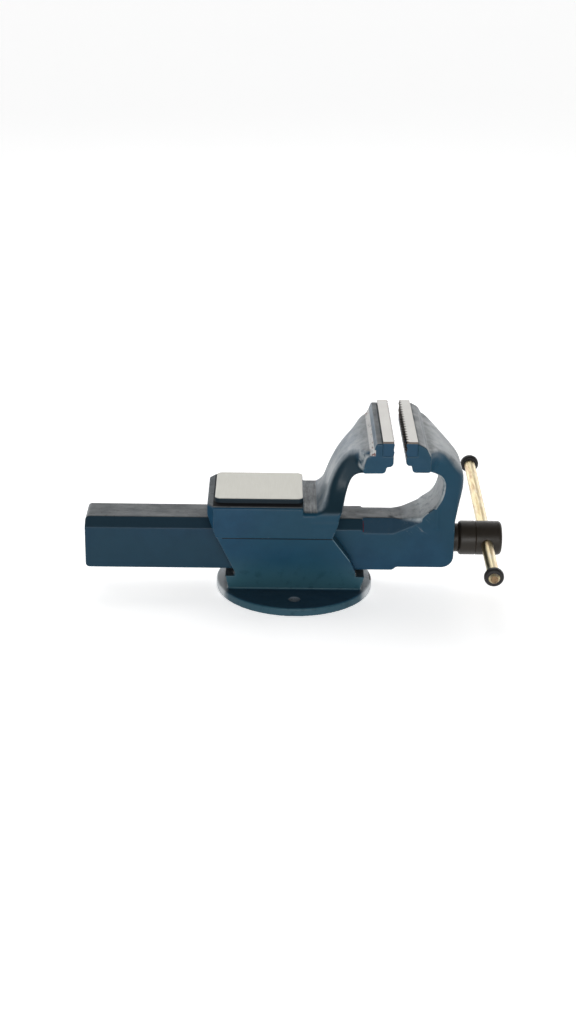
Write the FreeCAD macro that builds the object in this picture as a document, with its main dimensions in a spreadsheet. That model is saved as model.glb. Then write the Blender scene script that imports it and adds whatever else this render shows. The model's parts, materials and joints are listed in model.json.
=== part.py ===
import FreeCAD, Part
import math
import os
import Sketcher
from FreeCAD import Placement, Rotation, Vector

# A six-inch bench vise, in millimetres.
# The origin is the middle of the round base's underside.
# +X runs along the spindle towards its handle, +Y runs along the jaws, +Z is up.

DRIVING_SIZES = {
    # round base and its bolt holes
    "flange_radius": 93.4, "flange_thick": 10.0, "flange_round": 2.0,
    "bolt_offset": 66.6, "bolt_hole_radius": 6.5,
    # pedestal and housing around the sliding beam
    "foot_half": 78.0, "foot_half_width": 38.0, "floor_level": 28.0,
    "floor_rear": 82.0, "floor_front": 83.0, "wall_foot_level": 34.0,
    "wall_foot_rear": 71.0, "wall_foot_front": 72.0,
    "waist_level": 82.0, "waist_rear": 92.0, "waist_front": 43.6,
    "waist_half_width": 53.8, "body_half_width": 56.0,
    "body_rear": 103.0, "body_rear_level": 107.0, "body_top": 120.5,
    "corner_along_length": 8.0, "corner_along_width": 12.0,
    "saddle_level": 114.5, "saddle_front": 26.0, "saddle_round": 6.0, "ledge_round": 2.5,
    "arm_foot_level": 103.0,
    # anvil
    "anvil_rear": 94.3, "anvil_front": 8.9, "anvil_half_width": 43.5,
    "anvil_top": 127.0, "anvil_corner": 7.0,
    # arms and jaws
    "jaw_width": 150.0, "jaw_top": 210.6, "rest_gap": 12.9, "fixed_grip": 110.8,
    "plate_thick": 13.2, "plate_height": 17.6, "plate_proud": 3.0,
    "lip_proud": 0.6, "tooth_pitch": 8.8, "tooth_depth": 1.5,
    "fixed_arm_half_width": 37.0, "sliding_arm_half_width": 31.0,
    # sliding beam
    "beam_half_width": 31.0, "beam_bottom": 32.6, "beam_top": 94.2,
    "beam_chamfer": 10.3, "block_chamfer": 14.5, "beam_rear": 248.0,
    "block_rear": 80.0, "block_front": 188.3, "beam_end_round": 5.0,
    "run_out_rear": 116.0, "run_out_front": 148.0, "run_out_chamfer": 0.3,
    "block_step": 4.2, "step_rear": 116.0, "step_front": 121.0, "beam_clearance": 0.3,
    "cavity_half_width": 19.0, "cavity_top": 84.0, "cavity_front": 150.0, "cavity_round": 5.0,
    # spindle
    "spindle_level": 63.0, "thread_radius": 12.0, "thread_rear": 235.0,
    "thread_depth": 2.5, "thread_lead_in": 3.0, "relief_length": 4.0, "relief_slope": 1.0,
    "journal_rear": 119.0, "journal_radius": 12.5, "running_fit": 0.05, "press_fit": 0.02,
    "head_rear": 195.8, "head_front": 247.2, "head_radius": 20.4,
    "seam_place": 20.0, "seam_depth": 0.8,
    "spigot_radius": 10.0, "spigot_front": 217.0, "spigot_bevel": 1.0, "spigot_spare": 0.5,
    "collar_radius": 17.0,
    "head_pin_radius": 3.0, "head_pin_place": 206.0, "head_pin_top": 13.0, "pin_spare": 0.2, "pin_nose": 0.6,
    # spring and keeper behind the front wall
    "washer_thick": 2.5, "washer_proud": 0.5, "spring_length": 16.0, "spring_wire": 1.5,
    "spring_radius": 15.2, "keeper_thick": 9.0,
    "keeper_radius": 17.0, "keeper_pin_radius": 2.5, "keeper_pin_sink": 0.4,
    # nut
    "nut_rear": 62.0, "nut_length": 44.0, "nut_half_width": 18.0, "nut_top": 82.0,
    "nut_round": 12.0, "nut_head_fit": 1.0, "nut_washer_rim": 0.6,
    "nut_screw_radius": 5.0, "nut_screw_reach": 15.0, "nut_screw_spread": 12.0,
    "nut_head_radius": 8.0, "nut_head_height": 9.0, "nut_head_level": 3.0,
    "nut_washer_thick": 2.0, "socket_radius": 4.6,
    # gaps around screws, and how far a tapped hole runs past its screw
    "screw_fit": 0.3, "tap_fit": 0.05, "tap_spare": 1.0,
    # plate screws
    "plate_screw_radius": 3.0, "plate_screw_offset": 50.0, "plate_head_radius": 5.0,
    "plate_head_height": 6.0, "plate_screw_reach": 6.0, "plate_socket_radius": 2.9,
    "plate_screw_drop": 1.5, "plate_head_sink": 2.0, "plate_head_fit": 0.5,
    # handle
    "bar_radius": 7.0, "bar_near": 102.0, "bar_far": 213.0, "bar_place": 229.0,
    "bar_tilt": 4.7, "ring_radius": 11.6, "ring_thick": 9.0, "neck_radius": 6.6,
    "end_radius": 4.4, "end_bevel": 2.2,
}

doc = FreeCAD.newDocument("bench_vise")
sheet = doc.addObject("Spreadsheet::Sheet", "Sizes")
for row, (alias, number) in enumerate(DRIVING_SIZES.items(), start=1):
    sheet.set(f"A{row}", alias)
    sheet.set(f"B{row}", str(number))
    sheet.setAlias(f"B{row}", alias)
doc.recompute()


class Size:
    """A length or angle, held as its value and as the sheet expression it comes from."""

    def __init__(self, value, text=None):
        self.value = float(value)
        self.text = text or f"({float(value)})"

    def __add__(self, other):
        other = as_size(other)
        return Size(self.value + other.value, f"({self.text} + {other.text})")

    def __sub__(self, other):
        other = as_size(other)
        return Size(self.value - other.value, f"({self.text} - {other.text})")

    def __mul__(self, factor):
        return Size(self.value * factor, f"({self.text} * {factor})")

    def __neg__(self):
        return self * -1

    __radd__ = __add__
    __rmul__ = __mul__

    def __rsub__(self, other):
        return as_size(other) - self


def as_size(number):
    return number if isinstance(number, Size) else Size(number)


class SheetSizes:
    """Each alias of the sheet as a Size: sizes.jaw_width, sizes.beam_top and so on."""

    def __getattr__(self, alias):
        return Size(sheet.get(alias), f"Sizes.{alias}")


sizes = SheetSizes()
FAR = 400.0
OVERCUT = 5.0
THROUGH_SPINDLE = Size(30.0)


def bind(thing, name, size):
    thing.setExpression(name, as_size(size).text)


def move_to(thing, x=0, y=0, z=0, turn=None):
    """Place a sub-part, its position bound to the sheet."""
    thing.Placement = Placement(Vector(0, 0, 0), turn or Rotation())
    for axis, size in zip("xyz", (x, y, z)):
        bind(thing, f"Placement.Base.{axis}", size)


# ---------------------------------------------------------------- sketches

def corner_round(before, corner, after, radius):
    """Where a round of this radius leaves the two sides that meet at corner, and its middle."""
    back = (before - corner).normalize()
    ahead = (after - corner).normalize()
    half = back.getAngle(ahead) / 2
    reach = radius / math.tan(half)
    centre = corner + (back + ahead).normalize() * (radius / math.sin(half))
    middle = centre + (corner - centre).normalize() * radius
    return corner + back * reach, middle, corner + ahead * reach


def pin_point(sketch, geometry, place, first, second):
    """Fix a sketch point's two coordinates to the sheet."""
    for kind, size in (("DistanceX", first), ("DistanceY", second)):
        index = sketch.addConstraint(Sketcher.Constraint(kind, -1, 1, geometry, place, size.value))
        sketch.setExpression(f"Constraints[{index}]", size.text)


def outline(sketch, corners):
    """Close straight sides through corners, each (first, second) or (first, second, radius)."""
    corners = [tuple(as_size(part) for part in corner) for corner in corners]
    points = [Vector(corner[0].value, corner[1].value, 0) for corner in corners]
    rounds = []
    for index, corner in enumerate(corners):
        ahead = points[(index + 1) % len(points)]
        if len(corner) == 3:
            rounds.append(corner_round(points[index - 1], points[index], ahead, corner[2].value))
        else:
            rounds.append((points[index],) * 3)
    sides = []
    for index in range(len(points)):
        start = rounds[index][2]
        end = rounds[(index + 1) % len(points)][0]
        sides.append(sketch.addGeometry(Part.LineSegment(start, end), False))
    for index, corner in enumerate(corners):
        side_in, side_out = sides[index - 1], sides[index]
        if len(corner) == 2:
            sketch.addConstraint(Sketcher.Constraint("Coincident", side_in, 2, side_out, 1))
            pin_point(sketch, side_out, 1, corner[0], corner[1])
            continue
        entry, middle, leave = rounds[index]
        arc = sketch.addGeometry(Part.ArcOfCircle(entry, middle, leave), False)
        first_end = 1 if sketch.getPoint(arc, 1).distanceToPoint(entry) < 1e-6 else 2
        sketch.addConstraint(Sketcher.Constraint("Tangent", side_in, 2, arc, first_end))
        sketch.addConstraint(Sketcher.Constraint("Tangent", side_out, 1, arc, 3 - first_end))
        radius = sketch.addConstraint(Sketcher.Constraint("Radius", arc, corner[2].value))
        sketch.setExpression(f"Constraints[{radius}]", corner[2].text)
        vertex = sketch.addGeometry(Part.Point(points[index]), True)
        sketch.addConstraint(Sketcher.Constraint("PointOnObject", vertex, 1, side_in))
        sketch.addConstraint(Sketcher.Constraint("PointOnObject", vertex, 1, side_out))
        pin_point(sketch, vertex, 1, corner[0], corner[1])


def both_sides(corners):
    """A half outline given up its positive side, closed by its mirror image."""
    mirrored = [(-as_size(corner[0]),) + tuple(corner[1:]) for corner in reversed(corners)]
    return list(corners) + mirrored


PLANES = {
    "XY": (Rotation(), Vector(0, 0, 1)),
    "XZ": (Rotation(Vector(1, 0, 0), 90), Vector(0, 1, 0)),
    "YZ": (Rotation(Vector(1, 1, 1), 120), Vector(1, 0, 0)),
}


# ---------------------------------------------------------------- solids of the Part workbench

def prism(name, plane, corners, low, high):
    """The outline on an origin plane, carried from low to high along that plane's axis."""
    turn, direction = PLANES[plane]
    sketch = doc.addObject("Sketcher::SketchObject", name + "_outline")
    sketch.Placement = Placement(Vector(0, 0, 0), turn)
    outline(sketch, corners)
    solid = doc.addObject("Part::Extrusion", name)
    solid.Base = sketch
    solid.DirMode = "Custom"
    solid.Dir = direction
    solid.Solid = True
    bind(solid, "LengthFwd", high)
    bind(solid, "LengthRev", -as_size(low))
    return solid


def cylinder(name, radius, length, x=0, y=0, z=0, turn=None):
    solid = doc.addObject("Part::Cylinder", name)
    bind(solid, "Radius", radius)
    bind(solid, "Height", length)
    move_to(solid, x, y, z, turn)
    return solid


def joined(kind, name, pieces):
    solid = doc.addObject(kind, name)
    solid.Shapes = list(pieces)
    solid.Refine = True
    return solid


def fuse(name, *pieces):
    return joined("Part::MultiFuse", name, pieces)


def common(name, *pieces):
    return joined("Part::MultiCommon", name, pieces)


def cut(name, base, *tools):
    solid = doc.addObject("Part::Cut", name)
    solid.Base = base
    solid.Tool = tools[0] if len(tools) == 1 else fuse(name + "_tools", *tools)
    solid.Refine = True
    return solid


def edges_where(base, test):
    """Numbers of the edges, from 1, whose test(start, middle, end) is true."""
    doc.recompute()
    found = []
    for number, edge in enumerate(base.Shape.Edges, start=1):
        middle = edge.valueAt((edge.FirstParameter + edge.LastParameter) / 2)
        if test(edge.valueAt(edge.FirstParameter), middle, edge.valueAt(edge.LastParameter)):
            found.append(number)
    return found


def rounded(name, base, radius, test):
    """base with a round of this radius on the edges that test accepts."""
    solid = doc.addObject("Part::Fillet", name)
    solid.Base = base
    solid.Edges = [(number, radius.value, radius.value) for number in edges_where(base, test)]
    return solid


ALONG_X = Rotation(Vector(0, 1, 0), 90)


# ---------------------------------------------------------------- bodies of the PartDesign workbench

def new_body(label):
    body = doc.addObject("PartDesign::Body", label)
    body.Label = label
    return body


def body_sketch(body, plane, name):
    sketch = body.newObject("Sketcher::SketchObject", name)
    roles = {feature.Role: feature for feature in body.Origin.OriginFeatures}
    sketch.AttachmentSupport = [(roles[plane + "_Plane"], "")]
    sketch.MapMode = "FlatFace"
    return sketch


def turned(label, corners, x=0, y=0, z=0, turn=None):
    """A body turned about its own X axis from a half outline of (place, radius) corners."""
    body = new_body(label)
    sketch = body_sketch(body, "XZ", label + "_outline")
    outline(sketch, corners)
    lathe = body.newObject("PartDesign::Revolution", label + "_turning")
    lathe.Profile = sketch
    lathe.ReferenceAxis = (sketch, ["H_Axis"])
    lathe.Angle = 360
    move_to(body, x, y, z, turn)
    return body


def padded(body, plane, name, corners, length):
    sketch = body_sketch(body, plane, name + "_outline")
    outline(sketch, corners)
    pad = body.newObject("PartDesign::Pad", name)
    pad.Profile = sketch
    bind(pad, "Length", length)
    return pad


def circles(sketch, centres, radius):
    for first, second in centres:
        first, second = as_size(first), as_size(second)
        centre = Vector(first.value, second.value, 0)
        ring = sketch.addGeometry(Part.Circle(centre, Vector(0, 0, 1), as_size(radius).value), False)
        pin_point(sketch, ring, 3, first, second)
        index = sketch.addConstraint(Sketcher.Constraint("Radius", ring, as_size(radius).value))
        sketch.setExpression(f"Constraints[{index}]", as_size(radius).text)


def box_corners(low_first, low_second, high_first, high_second):
    return [(low_first, low_second), (high_first, low_second),
            (high_first, high_second), (low_first, high_second)]


# ---------------------------------------------------------------- driving sizes worked out once

half_jaw = sizes.jaw_width * 0.5
fixed_seat = sizes.fixed_grip - sizes.plate_thick
sliding_grip = sizes.fixed_grip + sizes.rest_gap
sliding_seat = sliding_grip + sizes.plate_thick
plate_bottom = sizes.jaw_top - sizes.plate_height
head_top = sizes.jaw_top - sizes.plate_proud
screw_level = sizes.jaw_top - sizes.plate_height * 0.5 - sizes.plate_screw_drop


def arm(name, half_width, stations):
    """A loft through keystone sections, each joining a point of the arm's back to one of its throat.

    A station is (back x, back z, throat x, throat z, spread of the back, spread of the throat,
    round of the back corners, round of the throat corners); a spread adds to half_width.
    """
    sections = []
    for index, station in enumerate(stations):
        back_x, back_z, throat_x, throat_z, back_spread, throat_spread, back_round, round_in = station
        rise = Vector(back_x - throat_x, 0, back_z - throat_z)
        sketch = doc.addObject("Sketcher::SketchObject", f"{name}_section_{index}")
        turn = Rotation(Vector(0, 1, 0), rise, Vector(), "XYZ")
        sketch.Placement = Placement(Vector(throat_x, 0, throat_z), turn)
        back, throat = half_width + back_spread, half_width + throat_spread
        outline(sketch, [
            (-throat, 0, round_in),
            (throat, 0, round_in),
            (back, rise.Length, back_round),
            (-back, rise.Length, back_round),
        ])
        sections.append(sketch)
    solid = doc.addObject("Part::Loft", name)
    solid.Sections = sections
    solid.Solid = True
    solid.Ruled = False
    return solid


# ---------------------------------------------------------------- fixed body

def fixed_arm():
    return arm("fixed_arm", sizes.fixed_arm_half_width, [
        (12.0, 98.0, 49.6, 98.0, 19.0, 19.0, 3, 2),
        (14.2, 103.5, 50.8, 103.5, 19.0, 19.0, 4, 3),
        (17.5, 109.0, 52.0, 109.0, 19.0, 19.0, 5, 3),
        (25.0, 114.8, 54.2, 115.0, 18.0, 18.2, 7, 3),
        (30.5, 121.0, 55.8, 120.5, 13.5, 14.0, 9, 4),
        (34.3, 130.0, 57.9, 130.0, 7.0, 7.5, 11, 4),
        (38.6, 145.0, 61.8, 143.0, 1.5, 1.5, 13, 4),
        (47.5, 165.0, 66.3, 152.0, 0, 0, 13, 4),
        (57.5, 179.2, 71.8, 156.2, 2.5, 0.5, 12, 4),
        (65.8, 186.6, 76.8, 157.6, 10.0, 1.5, 10, 5),
        (71.2, 190.2, 80.6, 159.0, 21.0, 4.0, 8, 5),
        (76.0, 192.9, 84.2, 161.2, 31.0, 8.0, 6, 5),
        (81.0, 195.2, 88.0, 164.2, 35.5, 12.0, 5, 5),
        (89.5, 198.0, 94.0, 169.0, 36.5, 16.0, 4, 5),
    ])


def fixed_head():
    lip = sizes.fixed_grip - sizes.lip_proud
    return prism("fixed_head", "XZ", [
        (74.5, 171.2, 3),
        (101, 171.8, 4),
        (102.6, 179.5, 1),
        (lip, 179.5, 5),
        (lip, plate_bottom),
        (fixed_seat, plate_bottom),
        (fixed_seat, head_top),
        (90.4, head_top, 2.5),
        (87.4, 199),
        (85, 194.5, 1.5),
        (79, 189, 3),
    ], -half_jaw, half_jaw)


def housing():
    side = prism("housing_side", "XZ", [
        (-sizes.foot_half, sizes.flange_thick - 2),
        (sizes.foot_half, sizes.flange_thick - 2),
        (sizes.floor_front, sizes.floor_level),
        (sizes.wall_foot_front, sizes.floor_level),
        (sizes.wall_foot_front, sizes.wall_foot_level),
        (64.8, 51.3),
        (sizes.waist_front, sizes.waist_level),
        (49.5, 98, 30),
        (50.8, sizes.arm_foot_level),
        (sizes.anvil_front, sizes.arm_foot_level),
        (sizes.anvil_front, sizes.body_top),
        (-sizes.body_rear, sizes.body_top),
        (-sizes.body_rear, sizes.body_rear_level, 8),
        (-sizes.waist_rear, sizes.waist_level),
        (-sizes.wall_foot_rear, sizes.wall_foot_level),
        (-sizes.wall_foot_rear, sizes.floor_level),
        (-sizes.floor_rear, sizes.floor_level),
    ], -FAR, FAR)
    front = prism("housing_front", "YZ", both_sides([
        (sizes.foot_half_width, sizes.flange_thick - 2),
        (sizes.waist_half_width, sizes.waist_level),
        (sizes.body_half_width, sizes.waist_level),
        (sizes.body_half_width, sizes.body_top, sizes.ledge_round),
    ]), -FAR, FAR)
    rear, half = -sizes.body_rear, sizes.body_half_width
    plan = prism("housing_plan", "XY", [
        (rear, -half + sizes.corner_along_width),
        (rear + sizes.corner_along_length, -half),
        (FAR, -half),
        (FAR, half),
        (rear + sizes.corner_along_length, half),
        (rear, half - sizes.corner_along_width),
    ], 0, FAR)
    return common("housing_shell", side, front, plan)


def saddle():
    """The low bridge between the anvil and the foot of the arm."""
    return prism("saddle", "YZ", both_sides([
        (sizes.body_half_width, sizes.beam_top),
        (sizes.body_half_width, sizes.saddle_level, sizes.saddle_round),
    ]), 0, sizes.saddle_front)


def channel():
    """The passage for the beam, and the floor that it runs over."""
    gap = sizes.beam_clearance
    half = sizes.beam_half_width + gap
    top = sizes.beam_top + gap
    return prism("channel", "YZ", both_sides([
        (half, sizes.floor_level),
        (half, top - sizes.beam_chamfer),
        (half - sizes.beam_chamfer, top),
    ]), -FAR, FAR)


def nut_screw_places():
    middle = sizes.nut_length * 0.5 - sizes.nut_rear
    return [middle - sizes.nut_screw_spread, middle + sizes.nut_screw_spread]


def plate_screw_holes(name, start, direction):
    """Drilled holes for the plate screws, from start into the casting behind the plate."""
    holes = []
    for side in (-1, 1):
        turn = Rotation(Vector(0, 1, 0), 90 * direction)
        hole = cylinder(f"{name}_{'near' if side < 0 else 'far'}", sizes.plate_screw_radius + sizes.tap_fit,
                        sizes.plate_screw_reach + sizes.tap_spare, start, sizes.plate_screw_offset * side,
                        screw_level, turn)
        holes.append(hole)
    return holes


def fixed_body():
    flange = cylinder("flange_disc", sizes.flange_radius, sizes.flange_thick)
    flange = rounded("flange", flange, sizes.flange_round, lambda start, middle, end: middle.z > 1)
    anvil = prism("anvil", "XY", [
        (-sizes.anvil_rear, -sizes.anvil_half_width, sizes.anvil_corner),
        (sizes.anvil_front, -sizes.anvil_half_width, sizes.anvil_corner),
        (sizes.anvil_front, sizes.anvil_half_width, sizes.anvil_corner),
        (-sizes.anvil_rear, sizes.anvil_half_width, sizes.anvil_corner),
    ], sizes.arm_foot_level, sizes.anvil_top)
    casting = fuse("fixed_casting", flange, housing(), saddle(), anvil, fixed_arm(), fixed_head())
    tools = [channel()]
    for side in (-1, 1):
        tools.append(cylinder(f"bolt_hole_{'near' if side < 0 else 'far'}", sizes.bolt_hole_radius,
                              sizes.flange_thick + 2 * OVERCUT, 0, sizes.bolt_offset * side, -OVERCUT))
    sink_top = sizes.nut_head_level + sizes.nut_head_height + sizes.nut_washer_thick
    for index, place in enumerate(nut_screw_places()):
        tools.append(cylinder(f"nut_sink_{index}", sizes.nut_head_radius + sizes.nut_head_fit,
                              sink_top + OVERCUT, place, 0, -OVERCUT))
        tools.append(cylinder(f"nut_way_{index}", sizes.nut_screw_radius + sizes.screw_fit,
                              sizes.floor_level + OVERCUT, place, 0, 0))
    tools += plate_screw_holes("fixed_plate_hole", fixed_seat, -1)
    body = cut("fixed_body", casting, *tools)
    return body


# ---------------------------------------------------------------- sliding jaw

def sliding_arm():
    return arm("sliding_arm", sizes.sliding_arm_half_width, [
        (188.3, 84.0, 148.0, 84.0, 0, 0, 3, 2),
        (188.3, 92.0, 148.0, 92.0, 0, 0, 3, 2),
        (189.2, 99.0, 149.0, 101.5, 0, 0, 3, 3),
        (191.2, 109.5, 159.6, 109.6, 0, 0, 5, 3),
        (193.6, 121.0, 168.0, 121.0, 0.2, 0.2, 8, 4),
        (195.9, 133.0, 171.4, 133.0, 0.6, 0.6, 10, 4),
        (196.6, 147.0, 171.7, 144.8, 1.5, 1.5, 11, 4),
        (193.6, 160.5, 167.2, 153.0, 3.0, 3.0, 12, 4),
        (184.5, 173.0, 160.8, 157.4, 6.5, 4.5, 12, 4),
        (174.0, 183.5, 156.0, 159.4, 12.5, 7.0, 10, 5),
        (164.5, 191.0, 153.0, 162.4, 24.0, 15.0, 8, 5),
        (157.0, 195.6, 151.2, 167.4, 35.0, 28.0, 6, 5),
        (151.5, 197.6, 149.8, 171.6, 40.5, 38.0, 5, 5),
        (144.5, 199.5, 144.5, 174.2, 42.5, 42.0, 4, 5),
    ])


def sliding_head():
    lip = sliding_grip + sizes.lip_proud
    return prism("sliding_head", "XZ", [
        (152.9, 173, 3),
        (152.9, 192.5),
        (147, 203, 6),
        (138.5, head_top, 3),
        (sliding_seat, head_top),
        (sliding_seat, plate_bottom),
        (lip, plate_bottom),
        (lip, 181.2, 4.5),
        (131.4, 181.2, 1),
        (132, 173, 4),
    ], -half_jaw, half_jaw)


def bar_outline(chamfer):
    """The bar's section across the spindle, its two upper edges bevelled."""
    half = sizes.beam_half_width
    return both_sides([
        (half, sizes.beam_bottom),
        (half, sizes.beam_top - chamfer),
        (half - chamfer, sizes.beam_top),
    ])


def beam():
    """The long tail of the sliding jaw, its rear end rounded as seen from the side."""
    bar = prism("beam_bar", "YZ", bar_outline(sizes.beam_chamfer), -sizes.beam_rear, sizes.block_rear)
    side = prism("beam_side", "XZ", [
        (-sizes.beam_rear, sizes.beam_bottom, sizes.beam_end_round),
        (sizes.block_rear, sizes.beam_bottom),
        (sizes.block_rear, sizes.beam_top),
        (-sizes.beam_rear, sizes.beam_top, sizes.beam_end_round),
    ], -FAR, FAR)
    return common("beam", bar, side)


def loft_along_x(name, stations, ruled):
    """A loft through upright sections, each a place along X and the section's outline."""
    sections = []
    for index, (place, corners) in enumerate(stations):
        sketch = doc.addObject("Sketcher::SketchObject", f"{name}_section_{index}")
        sketch.Placement = Placement(Vector(0, 0, 0), PLANES["YZ"][0])
        bind(sketch, "Placement.Base.x", place)
        outline(sketch, corners)
        sections.append(sketch)
    solid = doc.addObject("Part::Loft", name)
    solid.Sections = sections
    solid.Solid = True
    solid.Ruled = ruled
    return solid


def block():
    """The thicker head of the beam, whose wide bevels run out under the arm."""
    wide, thin = bar_outline(sizes.block_chamfer), bar_outline(sizes.run_out_chamfer)
    bar = loft_along_x("block_bar", [
        (sizes.block_rear, wide),
        (sizes.run_out_rear, wide),
        (sizes.run_out_front, thin),
        (sizes.block_front, thin),
    ], True)
    step = sizes.beam_bottom + sizes.block_step
    side = prism("block_side", "XZ", [
        (sizes.block_rear, sizes.beam_bottom),
        (sizes.step_rear, sizes.beam_bottom, 3),
        (sizes.step_front, step, 3),
        (sizes.block_front, step, 14),
        (sizes.block_front, sizes.beam_top),
        (sizes.block_rear, sizes.beam_top),
    ], -FAR, FAR)
    return common("block", bar, side)


def arm_root():
    """The swelling of the block's top where the throat of the arm rises out of it."""
    stations = [
        (108.0, 15.0, 92.5),
        (118.0, 17.2, 94.3),
        (129.0, 22.0, 95.4),
        (140.0, 27.0, 98.4),
        (149.0, 30.6, 101.3),
        (156.0, 31.0, 105.6),
        (163.0, 31.0, 112.0),
        (170.0, 31.0, 118.5),
    ]
    return loft_along_x("arm_root", [
        (place, both_sides([(half, 86), (half, top, 2)])) for place, half, top in stations
    ], False)


def sliding_jaw():
    casting = fuse("sliding_casting", beam(), block(), arm_root(), sliding_arm(), sliding_head())
    half = sizes.cavity_half_width
    cavity = prism("beam_cavity", "YZ", both_sides([
        (half, 0),
        (half, sizes.cavity_top, sizes.cavity_round),
    ]), -FAR, sizes.cavity_front)
    bore_length = sizes.block_front - sizes.cavity_front + 2 * OVERCUT
    bore = cylinder("spindle_bore", sizes.journal_radius + sizes.running_fit, bore_length,
                    sizes.cavity_front - OVERCUT, 0, sizes.spindle_level, ALONG_X)
    holes = plate_screw_holes("sliding_plate_hole", sliding_seat, 1)
    return cut("sliding_jaw", casting, cavity, bore, *holes)


# ---------------------------------------------------------------- jaw plates and their screws

def tooth_comb(name, direction, lean):
    """A block whose gripping side is a row of teeth that lean along the jaw as they rise."""
    pitch = sizes.tooth_pitch.value
    depth = sizes.tooth_depth.value
    teeth = int(sizes.jaw_width.value / pitch) + 6
    first = -pitch * teeth / 2
    corners = [Vector(-40 * direction, first, 0)]
    for tooth in range(teeth):
        corners.append(Vector(-depth * direction, first + pitch * tooth, 0))
        corners.append(Vector(0, first + pitch * (tooth + 0.5), 0))
    corners.append(Vector(-depth * direction, first + pitch * teeth, 0))
    corners.append(Vector(-40 * direction, first + pitch * teeth, 0))
    corners.append(corners[0])
    height = sizes.plate_height.value
    comb = doc.addObject("Part::Feature", name)
    comb.Shape = Part.Face(Part.makePolygon(corners)).extrude(Vector(0, lean * height, height))
    return comb


def jaw_plate(name, grip, direction):
    """A plate behind the gripping plane at grip, its teeth facing +X or -X."""
    back = grip - sizes.plate_thick * direction
    low, high = (back, grip) if direction > 0 else (grip, back)
    blank = prism(name + "_blank", "XZ", box_corners(low, plate_bottom, high, sizes.jaw_top),
                  -half_jaw, half_jaw)
    combs = []
    for lean in (-0.5, 0.5):
        comb = tooth_comb(f"{name}_teeth_{'left' if lean < 0 else 'right'}", direction, 2 * lean)
        move_to(comb, grip, 0, plate_bottom)
        combs.append(comb)
    toothed = common(name + "_toothed", blank, *combs)
    tools = []
    turn = Rotation(Vector(0, 1, 0), -90 * direction)
    start = grip + OVERCUT * direction
    sink_depth = sizes.plate_head_sink + sizes.plate_head_height
    for side in (-1, 1):
        tag = "near" if side < 0 else "far"
        y = sizes.plate_screw_offset * side
        tools.append(cylinder(f"{name}_sink_{tag}", sizes.plate_head_radius + sizes.plate_head_fit,
                              sink_depth + OVERCUT, start, y, screw_level, turn))
        tools.append(cylinder(f"{name}_way_{tag}", sizes.plate_screw_radius + sizes.screw_fit,
                              sizes.plate_thick + 2 * OVERCUT, start, y, screw_level, turn))
    return cut(name, toothed, *tools)


def cap_screw(name, radius, head_radius, head_height, length, socket_radius, x, y, z, turn):
    """A socket screw along its own Z: head top at zero, shank running to plus head and length."""
    shank = cylinder(name + "_shank", radius, as_size(head_height) + length)
    head = cylinder(name + "_head", head_radius, head_height)
    socket = doc.addObject("Part::Prism", name + "_socket")
    socket.Polygon = 6
    bind(socket, "Circumradius", socket_radius)
    bind(socket, "Height", as_size(head_height) * 0.55)
    screw = cut(name, fuse(name + "_blank", shank, head), socket)
    move_to(screw, x, y, z, turn)
    return screw


def screw_group(label, screws):
    group = doc.addObject("Part::Compound", label)
    group.Links = screws
    return group


def plate_screws(label, grip, direction):
    depth = sizes.plate_head_sink + sizes.plate_head_height
    turn = Rotation(Vector(0, 1, 0), -90 * direction)
    length = sizes.plate_thick - depth + sizes.plate_screw_reach
    screws = []
    for side in (-1, 1):
        tag = "near" if side < 0 else "far"
        screws.append(cap_screw(f"{label}_{tag}", sizes.plate_screw_radius, sizes.plate_head_radius,
                                sizes.plate_head_height, length, sizes.plate_socket_radius,
                                grip - sizes.plate_head_sink * direction,
                                sizes.plate_screw_offset * side,
                                screw_level, turn))
    return screw_group(label, screws)


# ---------------------------------------------------------------- nut

def spindle_nut():
    body = new_body("spindle_nut")
    rear = -sizes.nut_rear
    half = sizes.nut_half_width
    top = sizes.nut_top
    padded(body, "YZ", "nut_block", both_sides([
        (half, sizes.floor_level),
        (half, top, sizes.nut_round),
    ]), sizes.nut_length)
    move_to(body, rear)
    bore_sketch = body_sketch(body, "YZ", "nut_bore_circle")
    circles(bore_sketch, [(0, sizes.spindle_level)], sizes.thread_radius + sizes.running_fit)
    bore = body.newObject("PartDesign::Pocket", "nut_bore")
    bore.Profile = bore_sketch
    bore.Type = "ThroughAll"
    bore.Reversed = True
    screw_sketch = body_sketch(body, "XY", "nut_tapping_circles")
    places = [place + sizes.nut_rear for place in nut_screw_places()]
    circles(screw_sketch, [(place, 0) for place in places], sizes.nut_screw_radius + sizes.tap_fit)
    tapping = body.newObject("PartDesign::Pocket", "nut_tapping")
    tapping.Profile = screw_sketch
    tapping.Reversed = True
    bind(tapping, "Length", sizes.floor_level + sizes.nut_screw_reach + sizes.tap_spare)
    return body


def nut_screws():
    screws = []
    grip_length = sizes.floor_level - sizes.nut_head_level - sizes.nut_head_height
    for index, place in enumerate(nut_screw_places()):
        screws.append(cap_screw(f"nut_screw_{index}", sizes.nut_screw_radius, sizes.nut_head_radius,
                                sizes.nut_head_height, grip_length + sizes.nut_screw_reach,
                                sizes.socket_radius, place, 0, sizes.nut_head_level, Rotation()))
    return screw_group("nut_screws", screws)


def nut_washers():
    washers = []
    level = sizes.nut_head_level + sizes.nut_head_height
    for index, place in enumerate(nut_screw_places()):
        disc = cylinder(f"nut_washer_disc_{index}", sizes.nut_head_radius + sizes.nut_washer_rim,
                        sizes.nut_washer_thick, place, 0, level)
        hole = cylinder(f"nut_washer_hole_{index}", sizes.nut_screw_radius + sizes.screw_fit,
                        sizes.nut_washer_thick + 2 * OVERCUT, place, 0, level - OVERCUT)
        washers.append(cut(f"nut_washer_{index}", disc, hole))
    return screw_group("nut_washers", washers)


# ---------------------------------------------------------------- spindle

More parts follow.
